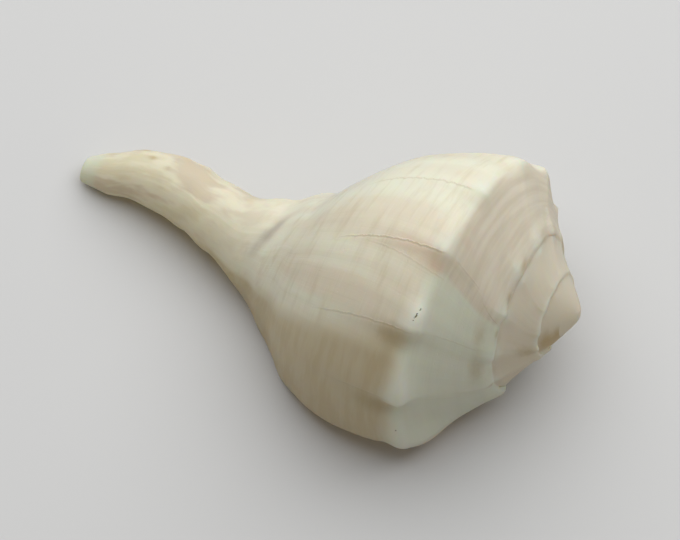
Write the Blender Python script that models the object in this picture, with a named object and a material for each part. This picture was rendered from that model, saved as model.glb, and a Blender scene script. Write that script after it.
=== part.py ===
"""A lightning whelk shell: one left-handed, knobbed, pear-shaped sea shell, lying on its aperture.

The shell is first made round its own coiling axis: +Z runs from the apex to the tip of the siphonal
canal, and an angle of 0 about it is the side where the outer lip ends. A longitudinal profile, from the
suture over the shoulder and down to the canal, is swept backwards from the lip, shrinking by a fixed ratio
each turn, up to the apex. The living chamber and the open canal are then cut out, the shell is rolled and
pitched onto the spots that it rests on, and those spots are worn flat. Metres, +Z up.
"""

import math

import bmesh
import bpy
from mathutils import Euler, Matrix, Vector

MM = 0.001

# Coiling. A whelk grows along a spiral that widens by one ratio each turn and lengthens by another.
COLUMNS_PER_TURN = 59
COLUMNS_PER_KNOB = 5
STEP = math.radians(360 / COLUMNS_PER_TURN)
TURNS = 4
WIDER_EACH_TURN = 1.9035
LONGER_EACH_TURN = 2.123
LIP_ANGLE = math.radians(-1.5)

# The growth lines lean forward from the shoulder to the suture, by this many columns at the suture.
SUTURE_LEAD = 4

# The profile from the suture to the canal's tip: (radius, distance below the apex) in mm at the lip, and where
# it isn't a plain spiral, the same half a turn back. The last number is the growth line's lead in degrees.
RAMP = [
    (16.8, 11.9, -24.4),
    (18.0, 11.7, -23.0),
    (21.0, 14.6, -17.5),
    (25.0, 18.2, -9.0),
    (28.7, 21.6, -3.0),
    (30.8, 23.5, -0.8),
    (32.0, 25.2, 0.0),
]
BODY = [
    (33.1, 27.6, 23.9, 19.5, 1.0),
    (33.8, 30.3, 23.9, 21.8, 2.0),
    (33.9, 34.9, 23.2, 25.7, 3.0),
    (33.4, 40.0, 21.9, 30.3, 3.0),
    (31.6, 45.5, 20.2, 34.9, 1.5),
    (28.3, 50.1, 18.0, 39.1, -1.0),
    (23.7, 53.9, 15.5, 42.9, -4.0),
    (18.5, 57.1, 12.7, 46.4, -7.0),
    (13.8, 60.6, 10.0, 49.7, -8.0),
    (9.7, 64.8, 8.4, 54.5, -8.0),
    (7.5, 70.6, 7.3, 61.5, -8.0),
    (6.5, 77.8, 6.6, 70.6, -8.0),
    (6.0, 82.8, 6.1, 78.9, -8.0),
    (5.1, 88.6, 5.1, 86.2, -8.0),
    (3.9, 95.4, 3.9, 94.1, -8.0),
    (2.5, 99.6, 2.5, 99.3, -8.0),
]
COVER = len(RAMP) - 1
CANAL_TIP = 100.4
APEX = 0.2

# The canal wanders off the coiling axis: (distance below the apex, shift towards the lip) in mm.
CANAL_BEND = [
    (0.0, 0.0),
    (46.0, 0.0),
    (53.0, 1.2),
    (60.0, 4.4),
    (65.0, 5.4),
    (73.0, 3.4),
    (78.0, 1.7),
    (83.0, 0.8),
    (89.0, 0.8),
    (95.4, 2.3),
    (100.4, 3.2),
]

# Knobs: a ridge that climbs to a point and drops sharply, once every few columns along the shoulder.
# KNOB_RISE starts at the point and goes on towards the lip, through the hollow and up the next ridge.
KNOB_HEIGHT = 1.6
KNOB_RISE = [1.0, 0.12, 0.08, 0.3, 0.68]
KNOB_SPREAD = [0.0, 0.0, 0.0, 0.12, 0.55, 0.95, 1.0, 0.7, 0.42, 0.26, 0.16, 0.08]
SUTURE_WAVE = [1.0, 0.9, 0.45, 0.1]
FIRST_KNOB = 1
KNOBS_FADE = (120, 180)

# The lip stands up a little over the outer part of the ramp, where the next knob had begun: mm at each place.
LIP_SWELL = [0.0, 0.3, 0.5, 0.8, 2.0, 1.8, 1.0]
LIP_SWELL_COLUMNS = 3

# The spire's far side lies a little deeper than the plain spiral: by how many mm, at which angle and radius
# most, and over what angle, radius and depth that fades.
SPIRE_SAG = 1.7
SAG_ANGLE = math.radians(200)
SAG_REACH = math.radians(100)
SAG_RADIUS = 12.0
SAG_OUTER_RADIUS = 23.0
SAG_DEPTHS = (16.0, 28.0)

# The living chamber, from just outside the lip to over half a turn inside: places along the profile that its
# outline follows, and how far past its last column and how small each closing outline is.
WALL_AT_LIP = 1.1
WALL_INSIDE = 2.1
WALL_THICKENS_OVER = 12
GLAZE = 0.5
CHAMBER_COLUMNS = range(-8, 35, 3)
CHAMBER_OUTER = [1.7, 2.6, 3.6, 4.6, 5.5, 6.5, 8.0, 10.0, 12.0, 13.5, 15.0, 16.0]
CHAMBER_INNER = [17.0, 16.0, 15.0, 13.5, 12.0, 10.0, 8.2, 7.0]
CHAMBER_END = [(1.5, 0.75), (2.5, 0.35)]

# The canal's open groove: (distance below the apex, floor's distance from the canal's centre, half width), mm.
GROOVE_ANGLE = math.radians(-24)
GROOVE_REACH = 16.0
FLOOR_FACETS = 6
GROOVE = [
    (46.0, 9.0, 1.8),
    (52.0, 6.9, 2.3),
    (58.0, 5.3, 2.6),
    (64.0, 3.3, 2.5),
    (70.0, 1.1, 2.4),
    (76.0, -0.9, 2.2),
    (82.0, -1.8, 1.9),
    (90.0, -1.4, 1.55),
    (97.0, -0.7, 1.1),
    (102.0, -0.4, 0.9),
]

# How the shell lies: rolled towards its lip and pitched towards its canal until three spots touch.
REST_ROLL = math.radians(24.24)
REST_PITCH = math.radians(-11.07)
REST_WEAR = 0.25 * MM
FLOOR_WIDTH = 300 * MM
FLOOR_DEPTH = 20 * MM

SHELL_CREAM = (0.79, 0.74, 0.64, 1.0)
SHELL_ROUGHNESS = 0.45
CREASE_ANGLE = math.radians(40)


def spline(values, where):
    """The value at a fractional index of a list, on the smooth curve through all its numbers."""
    index = min(max(int(math.floor(where)), 0), len(values) - 2)
    part = where - index
    before = values[index - 1] if index > 0 else 2 * values[0] - values[1]
    here, there = values[index], values[index + 1]
    after = values[index + 2] if index + 2 < len(values) else 2 * there - here
    slope_here = (there - before) / 2
    slope_there = (after - here) / 2
    square, cube = part * part, part * part * part
    return (
        (2 * cube - 3 * square + 1) * here
        + (cube - 2 * square + part) * slope_here
        + (3 * square - 2 * cube) * there
        + (cube - square) * slope_there
    )


def eased(low, high, value):
    """From 0 at low to 1 at high, with no corner at either end."""
    share = min(max((value - low) / (high - low), 0), 1)
    return share * share * (3 - 2 * share)


def bend_at(depth):
    """How far the canal's centre stands off the coiling axis at this distance below the apex."""
    for (low, low_shift), (high, high_shift) in zip(CANAL_BEND, CANAL_BEND[1:]):
        if depth <= high:
            return low_shift + eased(low, high, depth) * (high_shift - low_shift)
    return CANAL_BEND[-1][1]


def spire_sag(radius, depth, angle):
    """How much deeper than a plain spiral the spire's far side lies, in mm."""
    turned = abs((angle - SAG_ANGLE + math.pi) % (2 * math.pi) - math.pi)
    around = 1 - eased(0, SAG_REACH, turned)
    outwards = eased(0, SAG_RADIUS, radius) * (1 - eased(SAG_RADIUS, SAG_OUTER_RADIUS, radius))
    return SPIRE_SAG * around * outwards * (1 - eased(*SAG_DEPTHS, depth))


def profile_columns():
    """The profile as lists: radius and depth at the lip, their shares left after a turn, and the lead."""
    radii = [point[0] for point in RAMP] + [point[0] for point in BODY]
    depths = [point[1] for point in RAMP] + [point[1] for point in BODY]
    radius_kept = [1 / WIDER_EACH_TURN] * len(RAMP) + [(point[2] / point[0]) ** 2 for point in BODY]
    depth_kept = [1 / LONGER_EACH_TURN] * len(RAMP) + [(point[3] / point[1]) ** 2 for point in BODY]
    leads = [math.radians(point[2]) for point in RAMP] + [math.radians(point[4]) for point in BODY]
    leads[0] = -SUTURE_LEAD * STEP
    radii[0] = radii[COVER] / WIDER_EACH_TURN
    depths[0] = depths[COVER] / LONGER_EACH_TURN
    return radii, depths, radius_kept, depth_kept, leads


RADII, DEPTHS, RADIUS_KEPT, DEPTH_KEPT, LEADS = profile_columns()
LAST = len(RADII) - 1


def angle_at(column, place):
    """The angle about the coiling axis of a point of the profile, in a column counted back from the lip."""
    return LIP_ANGLE + column * STEP + spline(LEADS, place)


def section_point(column, place):
    """(radius, depth) in mm of the smooth whorl, without knobs, at a fractional place along the profile."""
    turns_back = angle_at(column, place) / (2 * math.pi)
    radius = spline(RADII, place) * spline(RADIUS_KEPT, place) ** turns_back
    depth = spline(DEPTHS, place) * spline(DEPTH_KEPT, place) ** turns_back
    return radius, depth


def section_normal(column, place):
    """The unit vector that points out of the shell in the profile's own plane."""
    near, far = section_point(column, place - 0.05), section_point(column, place + 0.05)
    along = Vector((far[0] - near[0], far[1] - near[1]))
    return Vector((along.y, -along.x)).normalized()


def knob_height(column, place):
    """How far a knob lifts the surface, in mm, before the whorl's own size is counted."""
    rise = KNOB_RISE[(FIRST_KNOB - column) % COLUMNS_PER_KNOB]
    fade_from, fade_to = KNOBS_FADE
    strength = 1 - min(max((column - fade_from) / (fade_to - fade_from), 0), 1)
    spread = KNOB_SPREAD[place] if place < len(KNOB_SPREAD) else 0
    return KNOB_HEIGHT * rise * strength * spread


def whorl_size(column):
    """The whorl's size in a column, as a share of its size at the lip."""
    return WIDER_EACH_TURN ** (-column * STEP / (2 * math.pi))


def to_axis_frame(radius, depth, angle):
    """A point given in mm about the coiling axis, as a position in metres."""
    return Vector((
        (radius * math.cos(angle) + bend_at(depth)) * MM,
        radius * math.sin(angle) * MM,
        (depth + spire_sag(radius, depth, angle)) * MM,
    ))


def surface_point(column, place):
    """A vertex of the outside, with its knob, or with the knobs of the whorl before where it covers them."""
    radius, depth = section_point(column, place)
    normal = section_normal(column, place)
    covered = column + COLUMNS_PER_TURN - SUTURE_LEAD
    lift = knob_height(column, place) * whorl_size(column)
    if place < len(SUTURE_WAVE):
        lift += SUTURE_WAVE[place] * knob_height(covered, COVER) * whorl_size(covered)
    if place < len(LIP_SWELL):
        lift += LIP_SWELL[place] * max(1 - column / LIP_SWELL_COLUMNS, 0)
    outward = section_normal(covered, COVER) if place == 0 else normal
    radius += lift * outward.x
    depth += lift * outward.y
    return to_axis_frame(radius, depth, angle_at(column, place))


def add_strip(mesh, rows):
    """Quads between neighbouring rows of vertices."""
    for row, following in zip(rows, rows[1:]):
        for first, second, third, fourth in zip(row, row[1:], following[1:], following):
            mesh.faces.new((first, second, third, fourth))


def outside_solid():
    """The shell's outer form as one closed surface, with its aperture still closed by a sloping wall."""
    mesh = bmesh.new()
    last_column = TURNS * COLUMNS_PER_TURN
    lap = COLUMNS_PER_TURN - SUTURE_LEAD
    grid = {}
    for column in range(last_column, -1, -1):
        places = LAST if column <= lap else COVER
        for place in range(places + 1):
            shared = grid.get((column + lap, COVER)) if place == 0 else None
            grid[column, place] = shared or mesh.verts.new(surface_point(column, place))
    for column in range(last_column):
        places = LAST if column < lap else COVER
        for place in range(places):
            corners = [grid[column, place], grid[column, place + 1]]
            corners += [grid[column + 1, place + 1], grid[column + 1, place]]
            mesh.faces.new(corners)
    close_aperture(mesh, grid, lap)
    tip_ring = [grid[column, LAST] for column in range(lap + 1)]
    close_with_fan(mesh, tip_ring + [tip_ring[0]], to_axis_frame(0, CANAL_TIP, 0))
    crown = [grid[column, 0] for column in range(last_column - lap, last_column + 1)]
    crown += [grid[last_column, place] for place in range(1, COVER + 1)]
    close_with_fan(mesh, crown, to_axis_frame(0, APEX, 0))
    bmesh.ops.recalc_face_normals(mesh, faces=mesh.faces)
    return mesh


def close_aperture(mesh, grid, lap):
    """The sloping wall from the outer lip to the whorl before, which the living chamber later cuts away."""
    corner = grid[lap, COVER]
    for place in range(1, COVER):
        mesh.faces.new((grid[0, place], grid[0, place + 1], corner))
    for place in range(COVER, LAST):
        mesh.faces.new((grid[0, place], grid[0, place + 1], grid[lap, place + 1], grid[lap, place]))


def close_with_fan(mesh, ring, centre):
    """Triangles from each pair of neighbours in a ring to one middle point."""
    middle = mesh.verts.new(centre)
    for first, second in zip(ring, ring[1:]):
        if first is not second:
            mesh.faces.new((first, second, middle))


def wall_at(column):
    """The shell wall's thickness in mm, thin at the lip and full a little inside."""
    share = min(max(column / WALL_THICKENS_OVER, 0), 1)
    return WALL_AT_LIP + share * (WALL_INSIDE - WALL_AT_LIP)


def chamber_loop(column):
    """The chamber's outline in one column: down inside the outer wall and back up over the whorl before."""
    loop = []
    wall = wall_at(column)
    for place in CHAMBER_OUTER:
        radius, depth = section_point(column, place)
        normal = section_normal(column, place)
        loop.append((radius - wall * normal.x, depth - wall * normal.y, angle_at(column, place)))
    behind = column + COLUMNS_PER_TURN
    for place in CHAMBER_INNER:
        radius, depth = section_point(behind, place)
        normal = section_normal(behind, place)
        loop.append((radius + GLAZE * normal.x, depth + GLAZE * normal.y, angle_at(column, place)))
    return [to_axis_frame(*point) for point in loop]


def closed_tube(loops):
    """A mesh through closed loops of equal count, with its two ends closed."""
    mesh = bmesh.new()
    rows = [[mesh.verts.new(point) for point in loop] for loop in loops]
    add_strip(mesh, [row + [row[0]] for row in rows])
    mesh.faces.new(rows[0])
    mesh.faces.new(rows[-1])
    bmesh.ops.recalc_face_normals(mesh, faces=mesh.faces)
    return mesh


def shrunk(loop, share):
    """A loop drawn in towards its middle."""
    middle = sum(loop, Vector()) / len(loop)
    return [middle + (point - middle) * share for point in loop]


def chamber_cutter():
    """The living chamber as a solid, which narrows to a rounded end inside the shell."""
    loops = [chamber_loop(column) for column in CHAMBER_COLUMNS]
    end = CHAMBER_COLUMNS[-1]
    for beyond, share in CHAMBER_END:
        loops.append(shrunk(chamber_loop(end + beyond), share))
    return closed_tube(loops)


def groove_loop(depth, floor, half_width):
    """The groove's section: a round floor and two straight sides that run out of the canal."""
    out = Vector((math.cos(GROOVE_ANGLE), math.sin(GROOVE_ANGLE), 0))
    across = Vector((-out.y, out.x, 0))
    centre = Vector((bend_at(depth), 0, depth))
    points = [centre + GROOVE_REACH * out - half_width * across]
    middle = centre + (floor + half_width) * out
    for step in range(FLOOR_FACETS + 1):
        angle = math.pi * step / FLOOR_FACETS
        points.append(middle - half_width * (math.cos(angle) * across + math.sin(angle) * out))
    points.append(centre + GROOVE_REACH * out + half_width * across)
    return [point * MM for point in points]


def groove_cutter():
    """The canal's open groove as a solid."""
    return closed_tube([groove_loop(*station) for station in GROOVE])


def resting_pose():
    """The turn from the coiling axis's frame to how the shell lies: canal to -X, lip to -Y and down."""
    upright = Matrix(((0, 0, -1), (-1, 0, 0), (0, 1, 0))).to_4x4()
    roll = Euler((REST_ROLL, 0, 0)).to_matrix().to_4x4()
    pitch = Euler((0, REST_PITCH, 0)).to_matrix().to_4x4()
    return pitch @ roll @ upright


def make_object(name, mesh, pose, collection):
    """An object from a bmesh, turned into the resting pose."""
    data = bpy.data.meshes.new(name)
    bmesh.ops.triangulate(mesh, faces=mesh.faces)
    mesh.transform(pose)
    mesh.to_mesh(data)
    mesh.free()
    made = bpy.data.objects.new(name, data)
    collection.objects.link(made)
    return made


def floor_cutter(collection):
    """A slab under the floor, which wears the resting spots flat."""
    mesh = bmesh.new()
    bmesh.ops.create_cube(mesh, size=1)
    size = Matrix.Diagonal((FLOOR_WIDTH, FLOOR_WIDTH, FLOOR_DEPTH, 1))
    slab = Matrix.Translation((0, 0, -FLOOR_DEPTH / 2)) @ size
    return make_object("floor_wear", mesh, slab, collection)


def cut(target, cutter):
    """Takes one solid out of another."""
    boolean = target.modifiers.new(cutter.name, "BOOLEAN")
    boolean.operation = "DIFFERENCE"
    boolean.object = cutter
    cutter.hide_render = True
    cutter.display_type = "WIRE"


def shell_material():
    """Bleached shell: pale cream, with a soft gloss."""
    material = bpy.data.materials.new("bleached_shell")
    material.use_nodes = True
    surface = material.node_tree.nodes["Principled BSDF"]
    surface.inputs["Base Color"].default_value = SHELL_CREAM
    surface.inputs["Roughness"].default_value = SHELL_ROUGHNESS
    surface.inputs["Metallic"].default_value = 0.0
    material.diffuse_color = SHELL_CREAM
    return material


def new_collection(name):
    collection = bpy.data.collections.new(name)
    bpy.context.scene.collection.children.link(collection)
    return collection


def clear_scene():
    for old in list(bpy.data.objects):
        bpy.data.objects.remove(old)


def main():
    clear_scene()
    parts = new_collection("lightning_whelk_shell")
    cutters = new_collection("cutters")
    outside = outside_solid()
    pose = resting_pose()
    corners = [pose @ vertex.co for vertex in outside.verts]
    low = Vector(map(min, *corners))
    high = Vector(map(max, *corners))
    middle = (low + high) / 2
    pose = Matrix.Translation((-middle.x, -middle.y, -low.z - REST_WEAR)) @ pose
    shell = make_object("shell", outside, pose, parts)
    cut(shell, make_object("living_chamber", chamber_cutter(), pose, cutters))
    cut(shell, make_object("canal_groove", groove_cutter(), pose, cutters))
    cut(shell, floor_cutter(cutters))
    shell.data.materials.append(shell_material())
    shell.data.shade_smooth()
    shell.data.set_sharp_from_angle(angle=CREASE_ANGLE)


if __name__ == "__main__":
    main()
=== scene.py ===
# %% [markdown]
# # A lightning whelk shell
#
# A whelk builds its shell by adding to the open edge of a cone that coils as it widens. This lesson grows one in
# the same way. The imported solid gives its place and size, and the shell that is seen is a much finer surface made
# from the same spiral, with the knobs, growth marks and colours that the solid leaves out. Its box is kept, and the
# finer shell is meant to stay inside it.

import math

import bmesh
import bpy
import numpy as np
from mathutils import Euler, Matrix, Vector, kdtree


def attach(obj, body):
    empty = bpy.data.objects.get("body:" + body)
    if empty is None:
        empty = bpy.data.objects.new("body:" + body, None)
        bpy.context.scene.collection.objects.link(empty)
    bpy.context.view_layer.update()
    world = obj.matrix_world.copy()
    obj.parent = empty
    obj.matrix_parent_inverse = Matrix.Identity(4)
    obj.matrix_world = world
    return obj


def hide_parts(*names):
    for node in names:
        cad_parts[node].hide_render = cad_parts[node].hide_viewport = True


MM = 0.001
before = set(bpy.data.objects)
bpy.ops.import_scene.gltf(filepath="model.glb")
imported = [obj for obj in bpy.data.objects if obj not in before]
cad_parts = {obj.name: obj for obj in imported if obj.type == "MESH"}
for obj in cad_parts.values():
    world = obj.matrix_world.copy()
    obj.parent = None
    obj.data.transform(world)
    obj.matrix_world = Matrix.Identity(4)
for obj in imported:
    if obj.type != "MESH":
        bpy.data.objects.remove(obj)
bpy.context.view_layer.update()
print("nodes:", sorted(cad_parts))

# %% [markdown]
# ## The spiral
#
# Each turn of the shell is the one before it, made wider and longer by two fixed ratios. So the whole outside is one
# curve, the profile from the suture to the canal's tip, swept backwards from the lip and shrunk as it goes. Places
# on the shell are counted in two numbers: the column, which says how far back from the lip, and the place along the
# profile. The alternative, sculpting each whorl by hand, would lose the regularity that makes a shell look grown.

# %% How the shell coils
COLUMNS_PER_TURN = 59
STEP = math.radians(360 / COLUMNS_PER_TURN)
WIDER_EACH_TURN = 1.9035
LONGER_EACH_TURN = 2.123
LIP_ANGLE = math.radians(-1.5)
SUTURE_LEAD = 4
LAP = COLUMNS_PER_TURN - SUTURE_LEAD
print("one turn back, the shell is", round(1 / WIDER_EACH_TURN, 3), "as wide")

# %% [markdown]
# The profile's points are (radius, depth below the apex) in millimetres at the lip. On the ramp, between the suture
# and the shoulder, the growth lines also lean forward by the third number, in degrees. Below the shoulder the body
# doesn't shrink by the plain ratios, because all turns share one canal, so each point also gives its radius and
# depth half a turn back.

# %% The profile
RAMP = [
    (16.8, 11.9, -24.4),
    (18.0, 11.7, -23.0),
    (21.0, 14.6, -17.5),
    (25.0, 18.2, -9.0),
    (28.7, 21.6, -3.0),
    (30.8, 23.5, -0.8),
    (32.0, 25.2, 0.0),
]
BODY = [
    (33.1, 27.6, 23.9, 19.5, 1.0),
    (33.8, 30.3, 23.9, 21.8, 2.0),
    (33.9, 34.9, 23.2, 25.7, 3.0),
    (33.4, 40.0, 21.9, 30.3, 3.0),
    (31.6, 45.5, 20.2, 34.9, 1.5),
    (28.3, 50.1, 18.0, 39.1, -1.0),
    (23.7, 53.9, 15.5, 42.9, -4.0),
    (18.5, 57.1, 12.7, 46.4, -7.0),
    (13.8, 60.6, 10.0, 49.7, -8.0),
    (9.7, 64.8, 8.4, 54.5, -8.0),
    (7.5, 70.6, 7.3, 61.5, -8.0),
    (6.5, 77.8, 6.6, 70.6, -8.0),
    (6.0, 82.8, 6.1, 78.9, -8.0),
    (5.1, 88.6, 5.1, 86.2, -8.0),
    (3.9, 95.4, 3.9, 94.1, -8.0),
    (2.5, 99.6, 2.5, 99.3, -8.0),
]
SHOULDER = len(RAMP) - 1
LAST = SHOULDER + len(BODY)
CANAL_TIP = 100.4
profile = np.array([list(point[:2]) for point in RAMP] + [list(point[:2]) for point in BODY])
profile[0] = profile[SHOULDER] / (WIDER_EACH_TURN, LONGER_EACH_TURN)
shrink = np.array(
    [(1 / WIDER_EACH_TURN, 1 / LONGER_EACH_TURN)] * len(RAMP)
    + [((point[2] / point[0]) ** 2, (point[3] / point[1]) ** 2) for point in BODY]
)
leads = np.radians([point[2] for point in RAMP] + [point[4] for point in BODY])
leads[0] = -SUTURE_LEAD * STEP
along_profile = np.concatenate([[0], np.cumsum(np.hypot(*np.diff(profile, axis=0).T))])
print("length of the profile from suture to canal tip:", round(along_profile[-1], 1), "mm")

# %% [markdown]
# A smooth curve through the points gives the profile at any place. The canal doesn't lie on the coiling axis: it
# bends towards the lip and back, and that shift depends on depth alone.


# %% A smooth whorl at any column and place
def spline(values, where):
    values = np.asarray(values, float)
    index = np.clip(np.floor(where).astype(int), 0, len(values) - 2)
    part = where - index
    ends = np.concatenate([[2 * values[0] - values[1]], values, [2 * values[-1] - values[-2]]])
    before, here, there, after = (ends[index + offset] for offset in range(4))
    square, cube = part**2, part**3
    return (
        (2 * cube - 3 * square + 1) * here
        + (cube - 2 * square + part) * (there - before) / 2
        + (3 * square - 2 * cube) * there
        + (cube - square) * (after - here) / 2
    )


def smooth_step(low, high, value):
    share = np.clip((np.asarray(value, float) - low) / (high - low), 0, 1)
    return share * share * (3 - 2 * share)


CANAL_BEND = [
    (0.0, 0.0),
    (46.0, 0.0),
    (53.0, 1.2),
    (60.0, 4.4),
    (65.0, 5.4),
    (73.0, 3.4),
    (78.0, 1.7),
    (83.0, 0.8),
    (89.0, 0.8),
    (95.4, 2.3),
    (100.4, 3.2),
]


def bend_at(depth):
    shift = np.zeros_like(depth)
    for (low, low_shift), (high, high_shift) in zip(CANAL_BEND, CANAL_BEND[1:]):
        shift += smooth_step(low, high, depth) * (high_shift - low_shift)
    return shift


def angle_at(column, place):
    return LIP_ANGLE + column * STEP + spline(leads, place)


def section(column, place):
    turns_back = angle_at(column, place) / (2 * math.pi)
    radius = spline(profile[:, 0], place) * spline(shrink[:, 0], place) ** turns_back
    depth = spline(profile[:, 1], place) * spline(shrink[:, 1], place) ** turns_back
    return np.stack([radius, depth], axis=-1)


def section_normal(column, place):
    along = section(column, place + 0.05) - section(column, place - 0.05)
    normal = np.stack([along[..., 1], -along[..., 0]], axis=-1)
    return normal / np.linalg.norm(normal, axis=-1, keepdims=True)


def whorl_size(column):
    return WIDER_EACH_TURN ** (-column / COLUMNS_PER_TURN)


print("radius at the shoulder, a quarter turn back:", section(15.0, np.array(6.0))[0].round(2), "mm")

# %% [markdown]
# The spire of this shell isn't quite true: on one side its ramp lies up to 1.7 mm lower. The sag fades out round the
# turn, towards the axis and towards the shoulder. It is added where radius, depth and angle become a point in space,
# so that every surface made from the spiral, inside and outside, takes part in it.

# %% The sag, and the step into space
SPIRE_SAG = 1.7
SAG_ANGLE = math.radians(200)
SAG_REACH = math.radians(100)
SAG_RADIUS, SAG_OUTER_RADIUS = 12.0, 23.0
SAG_DEPTHS = (16.0, 28.0)


def spire_sag(radius, depth, angle):
    turned = np.abs(np.mod(angle - SAG_ANGLE + math.pi, 2 * math.pi) - math.pi)
    around = 1 - smooth_step(0, SAG_REACH, turned)
    outwards = smooth_step(0, SAG_RADIUS, radius) * (1 - smooth_step(SAG_RADIUS, SAG_OUTER_RADIUS, radius))
    return SPIRE_SAG * around * outwards * (1 - smooth_step(*SAG_DEPTHS, depth))


def to_space(radius_and_depth, angle):
    radius, depth = radius_and_depth[..., 0], radius_and_depth[..., 1]
    x, y = radius * np.cos(angle) + bend_at(depth), radius * np.sin(angle)
    return np.stack([x, y, depth + spire_sag(radius, depth, angle)], axis=-1)


print("the sag reaches", round(math.degrees(SAG_REACH)), "degrees each way round the spire")

# %% [markdown]
# ## Knobs
#
# Along the shoulder the shell carries a knob about every thirty degrees. Each is a broad swelling with a narrow
# ridge on it, like a finger that points to the lip: it climbs slowly, ends in a blunt point, and drops into a hollow.
# Swelling and ridge are each a curve along the spiral times a curve down the profile. The last knobs are the
# sharpest, older ones are worn lower, and near the apex they fade out. Modelling each knob by hand would give more
# control, but they would no longer grow with the whorls.

# %% Knobs and the swollen lip
COLUMNS_PER_KNOB = 5
FIRST_KNOB = 1
SWELL_HEIGHT, RIDGE_HEIGHT = 0.9, 1.3
SWELL_CLIMB = [1.0, 0.86, 0.68, 0.48, 0.3, 0.17, 0.08, 0.02, 0.0, 0.0, 0.0]
SWELL_DROP = [1.0, 0.5, 0.05, -0.14, -0.16, -0.1, -0.05, -0.02, 0.0, 0.0, 0.0]
SWELL_SPREAD = [0.0, 0.0, 0.0, 0.12, 0.55, 0.95, 1.0, 0.7, 0.42, 0.26, 0.16, 0.08, 0.0]
RIDGE_CLIMB = [1.0, 0.97, 0.88, 0.74, 0.56, 0.36, 0.18, 0.06, 0.0, 0.0, 0.0]
RIDGE_DROP = [1.0, 0.3, -0.04, -0.06, 0.0, 0.0, 0.0, 0.0, 0.0, 0.0, 0.0]
CURVE_STEPS = len(SWELL_CLIMB) - 1
CREST, RIDGE_WIDTH = 6.05, 0.85
LIP_IS_FREE = (-1, 4)
LAST_KNOBS_EXTRA, EARLIER_KNOBS_LESS, EARLIER_FROM = 0.35, 0.4, (11.5, 14)
WORN_RIDGE, WORN_KNOBS = 0.5, (40, 60)
KNOBS_FADE = (120, 180)
LIP_SWELL = [0.0, 0.3, 0.5, 0.8, 2.0, 1.8, 1.0, 0.0]
LIP_SWELL_COLUMNS = 3


def along_knob(climb, drop, column):
    behind = np.mod((column - FIRST_KNOB) / COLUMNS_PER_KNOB, 1)
    return spline(climb, behind * CURVE_STEPS) + spline(drop, (1 - behind) * CURVE_STEPS)


def knob_height(column, place):
    spread = spline(SWELL_SPREAD, np.clip(place, 0, len(SWELL_SPREAD) - 1))
    swell = SWELL_HEIGHT * along_knob(SWELL_CLIMB, SWELL_DROP, column) * spread
    crest = np.exp(-(((place - CREST) / RIDGE_WIDTH) ** 2)) * (1 - WORN_RIDGE * smooth_step(*WORN_KNOBS, column))
    earlier = smooth_step(*EARLIER_FROM, column)
    crest = crest * smooth_step(*LIP_IS_FREE, column) * (1 + LAST_KNOBS_EXTRA * (1 - earlier))
    crest = crest - EARLIER_KNOBS_LESS * earlier * crest
    ridge = RIDGE_HEIGHT * along_knob(RIDGE_CLIMB, RIDGE_DROP, column) * crest
    return (swell + ridge) * (1 - smooth_step(*KNOBS_FADE, column))


def lip_swell(column, place):
    lift = spline(LIP_SWELL, np.clip(place, 0, len(LIP_SWELL) - 1))
    return lift * (1 - smooth_step(0, LIP_SWELL_COLUMNS, column))


print("height at a knob's point:", knob_height(np.array(6.0), np.array(6.0)).round(2), "mm")

# %% [markdown]
# ## Growth marks
#
# A whelk grows in spurts, so its surface has soft waves across the spiral, and where the lip once broke and healed
# there are raised, ragged scars. Value noise, made here from a seeded table of random numbers, gives waves that
# never repeat. Each break is a row in a list: the column and place where it starts, those where it ends, its
# strength, and how ragged it is. The mesh carries only its low step, and the finish adds the ragged line later.

# %% Waves and healed scars
NOISE_SIZE = 256
noise_table = np.random.default_rng(11).random((NOISE_SIZE, NOISE_SIZE)) * 2 - 1


def value_noise(across, along):
    column_index, row_index = np.floor(across).astype(int), np.floor(along).astype(int)
    part_across, part_along = across - column_index, along - row_index
    part_across = part_across**2 * (3 - 2 * part_across)
    part_along = part_along**2 * (3 - 2 * part_along)
    corners = [
        [noise_table[(column_index + i) % NOISE_SIZE, (row_index + j) % NOISE_SIZE] for j in range(2)]
        for i in range(2)
    ]
    low = corners[0][0] * (1 - part_along) + corners[0][1] * part_along
    high = corners[1][0] * (1 - part_along) + corners[1][1] * part_along
    return low * (1 - part_across) + high * part_across


BREAKS = [
    (16.0, 6.2, 14.75, 11.6, 1.0, 0.04),
    (14.6, 4.9, 14.9, 10.6, 0.25, 0.03),
    (16.0, 5.7, 16.4, 2.7, 0.4, 0.03),
    (16.4, 2.8, 14.9, 0.9, 0.5, 0.03),
    (10.9, 6.3, 9.65, 11.4, 0.55, 0.03),
    (10.8, 5.6, 11.7, 1.8, 0.25, 0.03),
    (6.15, 6.3, 5.6, 10.5, 0.25, 0.02),
    (5.85, 5.6, 5.2, 1.8, 0.2, 0.03),
    (20.8, 6.8, 20.1, 12.2, 0.8, 0.06),
    (31.2, 6.8, 30.4, 13.0, 0.6, 0.08),
    (41.1, 6.6, 40.2, 12.0, 0.5, 0.06),
    (36.1, 5.6, 35.6, 1.4, 0.4, 0.06),
]
BREAK_RISE = 0.26
BREAK_STEP = 0.35
BREAK_FADE = 0.5
BREAK_START, BREAK_END = (-0.5, 0.4), 2.0
WAVE_HEIGHT, FINE_WAVE_HEIGHT = 0.07, 0.04
CORD_HEIGHT, CORD_SPACING = 0.018, 2.1
CORDS_FROM = (5.5, 8)


def break_column(row, place):
    start_column, start, end_column, end = row[:4]
    return start_column + (end_column - start_column) * (place - start) / (end - start)


def break_reach(row, place):
    low, high = min(row[1], row[3]), max(row[1], row[3])
    started = smooth_step(low + BREAK_START[0], low + BREAK_START[1], place)
    return started * (1 - smooth_step(high - BREAK_END, high, place))


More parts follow.
